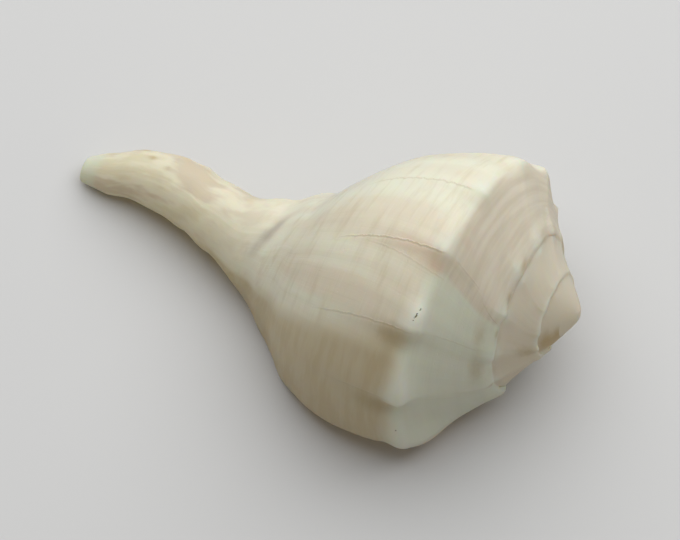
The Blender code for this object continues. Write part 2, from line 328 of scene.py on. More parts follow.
def scar_height(column, place):
    height = np.zeros(np.broadcast(column, place).shape)
    for row in BREAKS:
        offset = column - break_column(row, place)
        edge = np.where(offset > 0, np.exp(-offset * BREAK_FADE), np.exp(-((offset / BREAK_STEP) ** 2)))
        height = height + BREAK_RISE * row[4] * break_reach(row, place) * edge
    return height


def wave_height(column, place):
    grown = value_noise(column * 1.15, place * 0.10 + 3)
    fine = value_noise(column * 3.1 + 50, place * 0.16 + 9)
    cords = np.sin(spline(along_profile, place) * 2 * math.pi / CORD_SPACING)
    return WAVE_HEIGHT * grown + FINE_WAVE_HEIGHT * fine + CORD_HEIGHT * cords * smooth_step(*CORDS_FROM, place)


print("healed breaks:", len(BREAKS), " tallest:", BREAK_RISE, "mm")

# %% [markdown]
# ## The outside as one grid
#
# The suture, where a whorl lies on the one before, is shared: the first place of a column is the shoulder place of a
# column one lap earlier. Because the grid's columns divide the turn evenly, both are the same vertex, and the whole
# outside is one sheet with no seam. The whorl's edge also rides over the knobs that it covers, with a thin ridge
# along it. The first whorls are worn smooth, and on the slim canal the relief is calmer. On its far side the body is a
# little hollower than the plain law makes it, by the millimetres in a list with one value for each place.

# %% The surface with all its relief
SUTURE_WAVE = [1.0, 0.9, 0.45, 0.1, 0.0]
RIDE_OVER_REACH, RELIEF_FROM_SUTURE = 0.5, 0.7
EDGE_RIDGE, EDGE_RIDGE_PLACE, EDGE_RIDGE_WIDTH = 0.12, 0.8, 0.45
CRINKLE, CRINKLES_TO_A_COLUMN = 0.8, 1.7
FULL_RELIEF_RADIUS = 30.0
WORN_APEX = (104.0, 118.0)
FAR_SIDE, FAR_SIDE_REACH = 26.0, 14.0
FAR_HOLLOW_RAMP = [0, 0, 0, 0, 0, 0, 0.1]
FAR_HOLLOW_BODY = [0.3, 0.55, 0.75, 0.95, 1.1, 1.45, 1.9, 1.9, 1.6]
FAR_HOLLOW_CANAL = [0.7, -0.6, 0.15, 0.1, 0, 0, 0]
FAR_HOLLOW = FAR_HOLLOW_RAMP + FAR_HOLLOW_BODY + FAR_HOLLOW_CANAL


def far_hollow(column, place):
    around = smooth_step(0, 1, 1 - np.abs(column - FAR_SIDE) / FAR_SIDE_REACH)
    return around * spline(FAR_HOLLOW, place)


def surface(column, place):
    column, place = np.broadcast_arrays(np.asarray(column, float), np.asarray(place, float))
    points = section(column, place)
    normal = section_normal(column, place)
    size = whorl_size(column)
    slope = np.clip(place / SHOULDER, 0, 1)[..., None]
    plain = section(column, place * 0) * (1 - slope) + section(column, place * 0 + SHOULDER) * slope
    worn = (smooth_step(*WORN_APEX, column) * (place < SHOULDER))[..., None]
    points = points * (1 - worn) + plain * worn
    calm = np.clip(points[..., 0] / (FULL_RELIEF_RADIUS * size), 0, 1)
    covered = column + LAP
    shoulder = np.full_like(place, SHOULDER)
    ride_over = spline(SUTURE_WAVE, np.clip(place, 0, len(SUTURE_WAVE) - 1))
    free = smooth_step(0, RELIEF_FROM_SUTURE, place)
    relief = knob_height(column, place) + lip_swell(column, place)
    relief = relief + (wave_height(column, place) * calm + scar_height(column, place)) * free
    crinkle = 1 + CRINKLE * value_noise(column * CRINKLES_TO_A_COLUMN, place * 0)
    ridge = EDGE_RIDGE * crinkle * np.exp(-(((place - EDGE_RIDGE_PLACE) / EDGE_RIDGE_WIDTH) ** 2)) * free
    relief = (relief + ridge) * (1 - worn[..., 0])
    covered_relief = knob_height(covered, shoulder) + wave_height(covered, shoulder)
    covered_relief = covered_relief + scar_height(covered, shoulder)
    lift = relief * size + ride_over * covered_relief * whorl_size(covered)
    lift = lift - far_hollow(column, place)
    share = 1 - smooth_step(0, RIDE_OVER_REACH, place)[..., None]
    outward = share * section_normal(covered, shoulder) + (1 - share) * normal
    points = points + lift[..., None] * outward
    return points, normal, angle_at(column, place)


print("the far side is up to", max(FAR_HOLLOW), "mm hollower")

# %% [markdown]
# The fine grid has five columns to each one that is counted here. Its rows stand closest on the ramp and the body,
# where the relief is, and further apart on the canal. Four and a half turns are enough: the apex is what is left.

# %% The grid's columns and rows
FINE = 5
SEEN_TURNS = 4.5
FINE_LAP = LAP * FINE
FIRST_COLUMN = 2
CANAL_PLACE = 17
RAMP_ROWS, BODY_ROWS, CANAL_ROWS = 31, 78, 26
last_column = round(SEEN_TURNS * COLUMNS_PER_TURN * FINE)
ramp_places = np.linspace(0, SHOULDER, RAMP_ROWS)
body_places = np.linspace(SHOULDER, CANAL_PLACE, BODY_ROWS)[1:]
canal_places = np.linspace(CANAL_PLACE, LAST, CANAL_ROWS)[1:]
places = np.concatenate([ramp_places, body_places, canal_places])
SHOULDER_ROW, LAST_ROW = len(ramp_places) - 1, len(places) - 1
print("grid:", last_column, "columns,", len(places), "rows on the last whorl")

# %% [markdown]
# Vertices come first. Each one also keeps where it sits on the shell (its column, its place and whether it is
# inside), because the colours will need that. For speed, positions are worked out for a whole block of columns at
# once.

# %% Vertices of the sheet
sheet = bmesh.new()
where_on_shell = []
grid = {}


def new_vertex(position, column, place, inside=0.0):
    where_on_shell.append((column, place, inside))
    return sheet.verts.new(position)


def add_columns(first, last, rows):
    columns = np.arange(first, last + 1) / FINE
    points, normal, angle = surface(columns[:, None], rows[None, :])
    positions = to_space(points, angle)
    for index in range(last, first - 1, -1):
        for row in range(len(rows)):
            shared = grid.get((index + FINE_LAP, SHOULDER_ROW)) if row == 0 else None
            position = positions[index - first, row]
            grid[index, row] = shared or new_vertex(position, index / FINE, rows[row])


add_columns(FINE_LAP + 1, last_column, ramp_places)
add_columns(FIRST_COLUMN, FINE_LAP, places)
print("vertices:", len(sheet.verts))

# %% [markdown]
# The lip's edge is rounded: the last column stops a little short, and five rings turn the surface over the edge of
# the wall. A sloping wall then closes the mouth, and the living chamber cuts it away again later. Working on a
# closed body first keeps the cuts simple and the result closed.

# %% The rounded lip
LIP_ROUNDING = [(0.26, 0.0), (0.07, 0.14), (0.0, 0.5), (0.07, 0.9), (0.3, 1.25)]
LIP_RIPPLE, RIPPLES_TO_A_PLACE = 0.12, 0.9
LIP_FULL_FROM = 2.5


def lip_ring(back, inward):
    ripple = LIP_RIPPLE * value_noise(places * RIPPLES_TO_A_PLACE + 5, places * 0) + back
    points, normal, angle = surface(ripple, places)
    points = points - inward * normal * smooth_step(0, LIP_FULL_FROM, places)[:, None]
    positions = to_space(points, angle)
    ring = [grid[FINE_LAP, SHOULDER_ROW]]
    for row in range(1, LAST_ROW + 1):
        ring.append(new_vertex(positions[row], back, places[row], min(inward, 1.0)))
    return ring


lip_rings = [lip_ring(back, inward) for back, inward in LIP_ROUNDING]
print("rings over the lip's edge:", len(lip_rings))

# %% [markdown]
# Faces join neighbours in the grid. The lip's rings all start at one suture vertex, so in that corner a face's
# corners can repeat, and the helper drops the repeats.


# %% Faces between the grid's vertices
def add_face(*corners):
    distinct = list(dict.fromkeys(corners))
    if len(distinct) > 2:
        sheet.faces.new(distinct)


def join_rows(first, second):
    for corner, following, following_back, corner_back in zip(first, first[1:], second[1:], second):
        add_face(corner, following, following_back, corner_back)


def grid_column(index, first_row, last_row):
    return [grid[index, row] for row in range(first_row, last_row + 1)]


for index in range(FIRST_COLUMN, last_column):
    bottom = LAST_ROW if index < FINE_LAP else SHOULDER_ROW
    join_rows(grid_column(index, 0, bottom), grid_column(index + 1, 0, bottom))
for ring, following in zip(lip_rings, lip_rings[1:]):
    join_rows(ring, following)
join_rows(lip_rings[0][1:], grid_column(FIRST_COLUMN, 1, LAST_ROW))
suture_end = [grid[index, SHOULDER_ROW] for index in range(FINE_LAP, FINE_LAP + FIRST_COLUMN + 1)]
add_face(*suture_end, grid[FIRST_COLUMN, 1], lip_rings[0][1])
inner_edge = [grid[FINE_LAP, SHOULDER_ROW]] * SHOULDER_ROW + grid_column(FINE_LAP, SHOULDER_ROW, LAST_ROW)
join_rows(lip_rings[-1], inner_edge)
print("faces:", len(sheet.faces))

# %% [markdown]
# The canal's tip and the apex close with rings that shrink towards a middle point, so that both end round.

# %% Close the canal's tip and the apex
TIP_ROUNDING = [(0.95, 0.22), (0.78, 0.5), (0.45, 0.7)]
TIP_REACH = CANAL_TIP - BODY[-1][1]
TIP_COLUMN = 20.0
APEX_ROUNDING = [(0.75, 0.4), (0.45, 0.75)]
APEX_DEPTH = 0.2


def close_ring(ring, shrinking, reach, centre_depth, column, place):
    centre = Vector((float(bend_at(np.array(centre_depth))), 0.0, centre_depth))
    start = [vertex.co.copy() for vertex in ring]
    outer = ring
    for share, advance in shrinking:
        inner = []
        for position in start:
            drawn_in = centre + (position - centre) * share
            if reach is None:
                drawn_in.z = position.z * (1 - advance) + centre.z * advance
            else:
                drawn_in.z = position.z + reach * advance
            inner.append(new_vertex(drawn_in, column, place))
        join_rows(outer + outer[:1], inner + inner[:1])
        outer = inner
    middle = new_vertex(centre, column, place)
    for first, second in zip(outer, outer[1:] + outer[:1]):
        add_face(first, second, middle)


tip_ring = [ring[LAST_ROW] for ring in reversed(lip_rings)]
tip_ring += [grid[index, LAST_ROW] for index in range(FIRST_COLUMN, FINE_LAP + 1)]
close_ring(tip_ring, TIP_ROUNDING, TIP_REACH, CANAL_TIP, TIP_COLUMN, float(LAST))
crown = [grid[index, 0] for index in range(last_column - FINE_LAP, last_column + 1)]
crown += [grid[last_column, row] for row in range(1, SHOULDER_ROW)]
close_ring(crown, APEX_ROUNDING, None, APEX_DEPTH, last_column / FINE, 0.0)
bmesh.ops.recalc_face_normals(sheet, faces=sheet.faces)
open_edges = sum(1 for edge in sheet.edges if len(edge.link_faces) != 2)
print("open edges:", open_edges, " volume:", round(sheet.calc_volume() / 1000, 2), "cm3")

# %% [markdown]
# ## The living chamber
#
# The hollow that the animal lived in follows the same spiral, a wall's thickness inside the outer surface, and is
# bounded on the other side by the whorl before with its thin glaze. It is made as a solid of closed outlines, one for
# each column, and taken out of the closed body with a Boolean. Modelling the inside face by face would give the same
# shape with far more care at the edges.

# %% The chamber as a solid
WALL_AT_LIP = 1.1
WALL_INSIDE = 2.1
WALL_THICKENS_OVER = 12
GLAZE = 0.5
CHAMBER_OUTER = np.linspace(1.7, 16.0, 66)
CHAMBER_INNER = np.linspace(17.0, 7.0, 44)
CHAMBER_COLUMNS = np.linspace(-8, 34, 106)
CHAMBER_END = [(0.6, 0.93), (1.1, 0.82), (1.5, 0.66), (1.8, 0.45), (2.0, 0.2)]
inside_points = []


def chamber_outline(column):
    wall = WALL_AT_LIP + np.clip(column / WALL_THICKENS_OVER, 0, 1) * (WALL_INSIDE - WALL_AT_LIP)
    outer = section(column, CHAMBER_OUTER) - wall * section_normal(column, CHAMBER_OUTER)
    behind = column + COLUMNS_PER_TURN
    inner = section(behind, CHAMBER_INNER) + GLAZE * section_normal(behind, CHAMBER_INNER)
    angle = angle_at(column, np.concatenate([CHAMBER_OUTER, CHAMBER_INNER]))
    outline = to_space(np.concatenate([outer, inner]), angle)
    for position, place in zip(outline, np.concatenate([CHAMBER_OUTER, CHAMBER_INNER])):
        inside_points.append((position, (column, place, 1.0)))
    return outline


def closed_tube(outlines):
    tube = bmesh.new()
    rows = [[tube.verts.new(position) for position in outline] for outline in outlines]
    for row, following in zip(rows, rows[1:]):
        for index in range(len(row)):
            tube.faces.new((row[index - 1], row[index], following[index], following[index - 1]))
    for row in (rows[0], rows[-1]):
        middle = tube.verts.new(sum((vertex.co for vertex in row), Vector()) / len(row))
        for index in range(len(row)):
            tube.faces.new((row[index - 1], row[index], middle))
    bmesh.ops.recalc_face_normals(tube, faces=tube.faces)
    return tube


def shrunk(outline, share):
    middle = outline.mean(axis=0)
    return middle + (outline - middle) * share


outlines = [chamber_outline(column) for column in CHAMBER_COLUMNS]
for beyond, share in CHAMBER_END:
    outlines.append(shrunk(chamber_outline(CHAMBER_COLUMNS[-1] + beyond), share))
chamber = closed_tube(outlines)
print("chamber:", round(chamber.calc_volume() / 1000, 2), "cm3")

# %% [markdown]
# The canal is an open channel along the underside. Its cutter is a round-floored trough whose floor sinks slowly
# from the mouth's corner to the middle of the canal.

# %% The canal's channel as a solid
GROOVE_ANGLE = math.radians(-24)
GROOVE_REACH = 16.0
GROOVE = np.array([
    (46.0, 9.0, 1.8),
    (52.0, 6.9, 2.3),
    (58.0, 5.3, 2.6),
    (64.0, 3.3, 2.5),
    (70.0, 1.1, 2.4),
    (76.0, -0.9, 2.2),
    (82.0, -1.8, 1.9),
    (90.0, -1.4, 1.55),
    (97.0, -0.7, 1.1),
    (102.0, -0.4, 0.9),
])
FLOOR_FACETS = 14
CHANNEL_IS_AT = (0.0, 18.0, 1.0)
out_of_canal = np.array([math.cos(GROOVE_ANGLE), math.sin(GROOVE_ANGLE), 0.0])
across_canal = np.array([-out_of_canal[1], out_of_canal[0], 0.0])


def groove_outline(station):
    depth, floor, half_width = (float(spline(GROOVE[:, column], station)) for column in range(3))
    centre = np.array([float(bend_at(np.array(depth))), 0.0, depth])
    middle = centre + (floor + half_width) * out_of_canal
    outline = [centre + GROOVE_REACH * out_of_canal - half_width * across_canal]
    for step in range(FLOOR_FACETS + 1):
        angle = math.pi * step / FLOOR_FACETS
        outline.append(middle - half_width * (math.cos(angle) * across_canal + math.sin(angle) * out_of_canal))
    outline.append(centre + GROOVE_REACH * out_of_canal + half_width * across_canal)
    for position in outline:
        inside_points.append((position, CHANNEL_IS_AT))
    return outline


groove_stations = np.linspace(0, len(GROOVE) - 1, 64)
groove = closed_tube([groove_outline(station) for station in groove_stations])
print("channel:", round(groove.calc_volume() / 1000, 2), "cm3")

# %% [markdown]
# ## How the shell lies
#
# The shell was made standing on its own axis. It lies on three spots: the edge of the lip, the underside of the
# body and the canal. The same roll and pitch as the solid's bring it there, and the same coarse points as the
# solid's give the shift, so the two fill the same place. Where it touches the floor, it is worn flat.

# %% Roll, pitch and place
REST_ROLL = math.radians(24.24)
REST_PITCH = math.radians(-11.07)
REST_SHIFT = (49.238, 4.638, 22.4615)
upright = Matrix(((0, 0, -1), (-1, 0, 0), (0, 1, 0))).to_4x4()
roll = Euler((REST_ROLL, 0, 0)).to_matrix().to_4x4()
pitch = Euler((0, REST_PITCH, 0)).to_matrix().to_4x4()
to_rest = Matrix.Diagonal((MM, MM, MM, 1)) @ Matrix.Translation(REST_SHIFT) @ pitch @ roll @ upright


def placed(name, data):
    made = bpy.data.objects.new(name, data)
    bpy.context.scene.collection.objects.link(made)
    return made


def as_object(name, mesh):
    data = bpy.data.meshes.new(name)
    bmesh.ops.triangulate(mesh, faces=mesh.faces)
    mesh.transform(to_rest)
    mesh.to_mesh(data)
    mesh.free()
    return placed(name, data)


where_on_shell += [where for position, where in inside_points]
known_points = [to_rest @ vertex.co for vertex in sheet.verts]
known_points += [to_rest @ Vector(position) for position, where in inside_points]
shell = as_object("shell_surface", sheet)
cutters = [as_object("chamber_cutter", chamber), as_object("channel_cutter", groove)]
print("turned body's length:", round(shell.dimensions.x / MM, 2), "mm")

# %% [markdown]
# ## Cut, then soften the edges
#
# The two cuts are Boolean modifiers, whose result is read back as a plain mesh of triangles. Cutting faces out by
# hand would work as well, but the spiral changes with every number above, and the modifiers follow it.

# %% Cut the chamber and the channel
for cutter in cutters:
    cut = shell.modifiers.new(cutter.name, "BOOLEAN")
    cut.operation = "DIFFERENCE"
    cut.solver = "MANIFOLD"
    cut.object = cutter
bpy.context.view_layer.update()
cut_mesh = bpy.data.meshes.new_from_object(shell.evaluated_get(bpy.context.evaluated_depsgraph_get()))
shell.modifiers.clear()
shell.data = cut_mesh
tidy = bmesh.new()
tidy.from_mesh(cut_mesh)
bmesh.ops.triangulate(tidy, faces=tidy.faces)
tidy.to_mesh(cut_mesh)
tidy.free()
for cutter in cutters:
    bpy.data.objects.remove(cutter)
print("after the cuts:", len(cut_mesh.vertices), "vertices,", len(cut_mesh.polygons), "faces")

# %% [markdown]
# Every vertex now finds again where it sits on the shell: the nearest of the points that were remembered, which for
# nearly all of them is the point itself. A k-d tree makes that search quick.

# %% Find each vertex's place on the shell again
SAME_POINT = 1e-6
tree = kdtree.KDTree(len(known_points))
for index, position in enumerate(known_points):
    tree.insert(position, index)
tree.balance()
found = [tree.find(vertex.co) for vertex in cut_mesh.vertices]
where = np.array([where_on_shell[index] for position, index, distance in found])
made_by_cut = np.array([distance for position, index, distance in found]) > SAME_POINT
print("vertices made by the cuts:", int(made_by_cut.sum()))

# %% [markdown]
# The cuts leave edges as sharp as a knife, while a shell's are rounded by wear. The vertices that the cuts made are
# the ones with no remembered point, so they and their neighbours are drawn a few times towards the middle of what
# surrounds them. A Bevel would do the same on clean quads, but not on the small triangles that a cut leaves. The
# sutures are filled in the same way, further and more often, and unevenly as wear would do it. Last, the resting
# spots are worn flat by lifting what lies below the floor up to it.

# %% Soften the edges and wear the resting spots flat
SOFTENING, SOFTENING_ROUNDS = 0.5, 6
SUTURE_FROM, SUTURE_ROUNDS = LAP + 2, 26
SUTURE_REACH, SUTURE_SPREAD = 6, 0.85
UNEVEN_WEAR, UNEVEN_PER_COLUMN = (-0.35, 0.25), 0.35
edges = np.array([edge.vertices[:] for edge in cut_mesh.edges])
positions = np.array([vertex.co for vertex in cut_mesh.vertices])


def spread_to_neighbours(values):
    wider = values.copy()
    np.maximum.at(wider, edges[:, 0], values[edges[:, 1]])
    np.maximum.at(wider, edges[:, 1], values[edges[:, 0]])
    return wider


def neighbour_means(values):
    total, count = np.zeros_like(values), np.zeros((len(values), 1))
    for here, there in (edges.T, edges.T[::-1]):
        np.add.at(total, here, values[there])
        np.add.at(count, here, 1)
    return total / count


near_cut = spread_to_neighbours(made_by_cut.astype(float))
near_cut = spread_to_neighbours(near_cut) * 0.5 + near_cut * 0.5
column, place, inside = where.T
on_suture = (column > SUTURE_FROM) & (np.abs(place - SHOULDER) < 0.1) & (inside == 0)
near_suture = on_suture * smooth_step(*UNEVEN_WEAR, value_noise(column * UNEVEN_PER_COLUMN + 7, column * 0))
for _ in range(SUTURE_REACH):
    near_suture = np.maximum(near_suture, spread_to_neighbours(near_suture) * SUTURE_SPREAD)
for softness, rounds in ((near_cut, SOFTENING_ROUNDS), (near_suture, SUTURE_ROUNDS)):
    for _ in range(rounds):
        pull = neighbour_means(positions) - positions
        positions = positions + pull * (SOFTENING * softness)[:, None]
positions[:, 2] = np.maximum(positions[:, 2], 0)
cut_mesh.vertices.foreach_set("co", positions.astype(np.float32).ravel())
cut_mesh.update()
print("vertices on the floor:", int((positions[:, 2] == 0).sum()))
box_low, box_high = positions.min(axis=0) / MM, positions.max(axis=0) / MM
print("fine shell's box in mm:", box_low.round(2), box_high.round(2))

# %% [markdown]
# ## Marks that belong to a place
#
# Colour on a shell follows its growth, so the finish needs to know where it is on the spiral. That goes into a UV
# layer: columns one way, millimetres down the profile the other. A suture vertex belongs to two whorls at once, and a
# UV layer can hold both answers, because it stores one for each corner of each face.

# %% A UV layer that counts along the growth
corner_vertex = np.array([loop.vertex_index for loop in cut_mesh.loops])
corner_column = column[corner_vertex].reshape(-1, 3)
corner_place = place[corner_vertex].reshape(-1, 3)
later_whorl = corner_column - corner_column.min(axis=1, keepdims=True) > LAP / 2
on_outside = inside[corner_vertex].reshape(-1, 3).max(axis=1, keepdims=True) == 0
at_suture = later_whorl & on_outside & (corner_place == SHOULDER)
corner_column = np.where(at_suture, corner_column - LAP, corner_column)
corner_place = np.where(at_suture, 0, corner_place)
growth = np.stack([corner_column, spline(along_profile, corner_place)], axis=-1)
growth_layer = cut_mesh.uv_layers.new(name="growth")
growth_layer.data.foreach_set("uv", growth.astype(np.float32).ravel())
print("corners on a suture:", int(at_suture.sum()))

# %% [markdown]
# Stains, bleached knobs and the hollows beside them each sit at their own place. Each list below has one row for a
# soft spot: its column and place, how many columns and places it reaches, and its strength. Every vertex stores the
# sum, which the finish then roughens with noise. Painting them by hand on an image would do too, but an image is one
# more file, and these rows can be moved with a number.

# %% Spots of colour
OCHRE = [
    (13.2, 1.9, 1.7, 0.4, 0.5),
    (9.2, 1.7, 1.9, 0.45, 0.55),
    (66.4, 2.0, 1.6, 1.1, 0.7),
    (22.2, 1.0, 1.2, 0.4, 0.7),
    (18.2, 0.8, 0.8, 0.5, 0.6),
    (13.9, 0.5, 0.7, 0.6, 0.5),
    (5.9, 0.8, 0.6, 0.6, 0.6),
    (29.5, 20.4, 3.5, 0.22, 0.8),
    (23.6, 20.0, 1.2, 0.16, 0.8),
    (20.6, 19.4, 1.6, 0.2, 0.5),
    (43.0, 1.2, 2.0, 0.6, 0.6),
    (50.5, 2.2, 1.4, 0.9, 0.6),
    (37.5, 0.9, 1.3, 0.5, 0.6),
]
# Spots that lay brown-tan over the nub at the top of the spire.
NUB_TAN = [(121.0, 3.2, 6.0, 3.0, 1.0), (126.0, 0.4, 5.0, 1.4, 0.6)]
SMUDGE = [(18.8, 15.92, 1.3, 0.2, 0.9), (16.4, 16.0, 1.6, 0.24, 1.0), (13.4, 16.1, 1.8, 0.18, 0.6)]
PINK_PATCH = [(15.6, 8.0, 0.7, 2.0, 0.7), (15.0, 6.0, 0.6, 0.9, 0.7), (17.6, 4.4, 0.6, 1.4, 0.5)]
# A pale band on the raised edge of the spire's second suture: a painted highlight.
PALE_EDGE_HIGHLIGHT = [(76.0, 0.9, 12.0, 0.5, 0.8)]


def spots(rows, column, place):
    total = np.zeros_like(column)
    for at, down, columns, places, strength in rows:
        total += strength * np.exp(-(((column - at) / columns) ** 2 + ((place - down) / places) ** 2))
    return np.clip(total, 0, 1)


def both_sides(rows):
    across_suture = (place == SHOULDER) & (column >= LAP)
    other = spots(rows, column - LAP, place * 0)
    return np.where(across_suture, np.maximum(spots(rows, column, place), other), spots(rows, column, place))


def store(name, values):
    attribute = cut_mesh.attributes.new(name, "FLOAT", "POINT")
    attribute.data.foreach_set("value", np.asarray(values, np.float32))
    print(f"{name}: mean {values.mean():.3f}, most {values.max():.2f}")


outside = 1 - np.clip(inside * 2, 0, 1)
store("inside", inside)
store("ochre", both_sides(OCHRE) * outside)
store("nub", spots(NUB_TAN, column, place))
store("smudge", spots(SMUDGE, column, place) * outside)
store("pink", spots(PINK_PATCH, column, place) * outside)

# %% [markdown]
# The knobs' own marks come from the knobs' own numbers. The hollow beside each of the last knobs is tan, partly a
# stain and partly painted shade below the knob's point, and the tops are bleached where they were rubbed. The knobs
# of the whorl before still show through along the suture, once as seen from each side of it.

# %% Rubbed knobs, and stain and painted shade in their hollows
HOLLOW_BACK, HOLLOW_PLACE, HOLLOW_COLUMNS, HOLLOW_PLACES = -1.0, 7.3, 0.85, 1.4
DEEP_HOLLOW, FAINT_HOLLOW, DEEP_UP_TO = 0.85, 0.2, 13
OLD_KNOBS = [61.0, 66.0, 71.0, 76.0, 81.0]
OLD_HOLLOW_BACK, OLD_HOLLOW = 2.4, (1.0, 0.6, 0.35)
OLD_POINT, OLD_POINT_ABOVE = (5.2, 1.3, 0.9, 0.7), (1.0, 1.3, 0.7, 0.7)


def rubbed(place):
    return np.clip(knob_height(column, place) / (SWELL_HEIGHT + RIDGE_HEIGHT), 0, 1)


def shade_and_stain_beside(knob):
    strength = DEEP_HOLLOW if knob < DEEP_UP_TO else FAINT_HOLLOW
    return (knob + HOLLOW_BACK, HOLLOW_PLACE, HOLLOW_COLUMNS, HOLLOW_PLACES, strength)


# Tan beside the knobs: below the last knobs' points it is painted shade with some stain, beside the older knobs a
# stain.
hollow_shade_and_stain_spots = [shade_and_stain_beside(knob) for knob in np.arange(FIRST_KNOB, LAP, COLUMNS_PER_KNOB)]
hollow_shade_and_stain_spots += [(knob + OLD_HOLLOW_BACK, 5.6, *OLD_HOLLOW) for knob in OLD_KNOBS]
hollow_shade_and_stain_spots += [(knob + OLD_HOLLOW_BACK - LAP, 0.6, *OLD_HOLLOW) for knob in OLD_KNOBS]
old_points = [(knob, *OLD_POINT) for knob in OLD_KNOBS]
old_points += [(knob - LAP, *OLD_POINT_ABOVE) for knob in OLD_KNOBS]
store("hollow_shade_and_stain", spots(hollow_shade_and_stain_spots, column, place) * outside)
# Knob tops bleached by rubbing, together with the painted highlight on the suture's edge.
store("bleached_and_edge_highlight", np.maximum(rubbed(place), spots(old_points + PALE_EDGE_HIGHLIGHT, column, place)) * outside)

# %% [markdown]
# What grew last looks different. On the ramp it is grey-green from the lip back to the healed break, and so is the
# canal's tip. On the body a tan stretch lies behind the lip, and its border leans back towards the canal. That tan is
# partly the new shell's own colour and partly painted shade on the lower flank, which faces away from the light.

# %% The newest growth, with painted shade on the lower flank
LAST_BREAK = (14.2, 15.4)
GREEN_FROM, GREEN_TO, GREEN_TO_ON_CREST = 5.2, 8.0, 6.2
GREEN_TIP = (20.9, 21.7)
NEW_GROWTH = (8.6, 11.0)
NEW_GROWTH_LEAN, LEANS_FROM = 0.3, 7
NEW_BODY, NEW_BODY_END = (5.6, 7.5), (16.5, 18.5)
green_to = GREEN_TO - (GREEN_TO - GREEN_TO_ON_CREST) * rubbed(place * 0 + CREST)
green_ramp = (1 - smooth_step(*LAST_BREAK, column)) * (1 - smooth_step(GREEN_FROM, green_to, place))
store("grey", np.maximum(green_ramp, smooth_step(*GREEN_TIP, place)) * outside)
newest_and_flank_shade = 1 - smooth_step(*NEW_GROWTH, column + NEW_GROWTH_LEAN * np.maximum(place - LEANS_FROM, 0))
newest_and_flank_shade = newest_and_flank_shade * smooth_step(*NEW_BODY, place) * (1 - smooth_step(*NEW_BODY_END, place))
store("newest_and_flank_shade", newest_and_flank_shade * outside)

# %% [markdown]
# ## The finish
#
# A finish is a graph of nodes, and its sums read best as sums. So one small class wraps a node's socket and lets
# Python's own signs stand for Math nodes. The finish class makes any other node from its type, its settings and what
# its sockets are given.

# %% Sums that write their own nodes
class Wire:
    def __init__(self, finish, socket):
        self.finish, self.socket = finish, socket

    def math(self, operation, first, second):
        return self.finish.node("ShaderNodeMath", {"operation": operation}, {0: first, 1: second})

    def __add__(self, other):
        return self.math("ADD", self, other)

    def __sub__(self, other):
        return self.math("SUBTRACT", self, other)

    def __rsub__(self, other):
        return self.math("SUBTRACT", other, self)

    def __mul__(self, other):
        return self.math("MULTIPLY", self, other)

    __radd__, __rmul__ = __add__, __mul__


class Finish:
    def __init__(self, name):
        self.material = bpy.data.materials.new(name)
        self.material.use_nodes = True
        self.tree = self.material.node_tree
        self.tree.nodes.clear()

    def node(self, kind, settings, given, output=0):
        made = self.tree.nodes.new(kind)
        for name, setting in settings.items():
            setattr(made, name, setting)
        for name, value in given.items():
            if isinstance(value, Wire):
                self.tree.links.new(value.socket, made.inputs[name])
            else:
                made.inputs[name].default_value = value
        return Wire(self, made.outputs[output] if made.outputs else None)


nacre = Finish("whelk_shell")
print("finish:", nacre.material.name)

# %% [markdown]
# A few helpers name what the finish does over and over: read a stored mark, fade between two values, mix two colours,
# and make noise that is stretched along or across the growth. Colours are written as they are seen on a screen, from 0
# to 255, and turned into amounts of light.


# %% Marks, fades, mixes and noise
def colour(red, green, blue):
    seen = [value / 255 for value in (red, green, blue)]
    return tuple(value / 12.92 if value <= 0.04045 else ((value + 0.055) / 1.055) ** 2.4 for value in seen) + (1,)


def mark(name):
    return nacre.node("ShaderNodeAttribute", {"attribute_name": name}, {}, "Fac")


def fade(low, high, value):
    given = {"Value": value, "From Min": low, "From Max": high}
    return nacre.node("ShaderNodeMapRange", {"interpolation_type": "SMOOTHSTEP"}, given)


def mix(share, first, second):
    return nacre.node("ShaderNodeMix", {"data_type": "RGBA"}, {0: share, 6: first, 7: second}, 2)


def larger(first, second):
    return nacre.node("ShaderNodeMath", {"operation": "MAXIMUM"}, {0: first, 1: second})


def distance_to(offset):
    return nacre.node("ShaderNodeMath", {"operation": "ABSOLUTE"}, {0: offset})


def mm_down(place):
    return float(spline(along_profile, np.array(float(place))))


def noise(across, down, scale_across, scale_down, seed, detail=2.0, roughness=0.5):
    where = nacre.node("ShaderNodeCombineXYZ", {}, {0: across * scale_across, 1: down * scale_down, 2: seed})
    given = {"Vector": where, "Scale": 1.0, "Detail": detail, "Roughness": roughness}
    return nacre.node("ShaderNodeTexNoise", {}, given, "Fac")


growth_place = nacre.node("ShaderNodeUVMap", {"uv_map": "growth"}, {})
split = nacre.node("ShaderNodeSeparateXYZ", {}, {0: growth_place})
back = Wire(nacre, split.socket.node.outputs["X"])
down = Wire(nacre, split.socket.node.outputs["Y"])
print("colour of 128 in light:", round(colour(128, 128, 128)[0], 3))

# %% [markdown]
# ### Ground colour
#
# The body is cream with broad pinkish and tan bands left by growth. Spiral streaks, fine ones and broader ones, cross
# the bands at right angles and run round the shell. Noise stretched far more one way than the other gives both. On
# the canal they give way to soft pinkish and tan blotches. Each row of the list lays one colour over the last: where
# its pattern begins and is full, the pattern, the region, the strength and the colour.

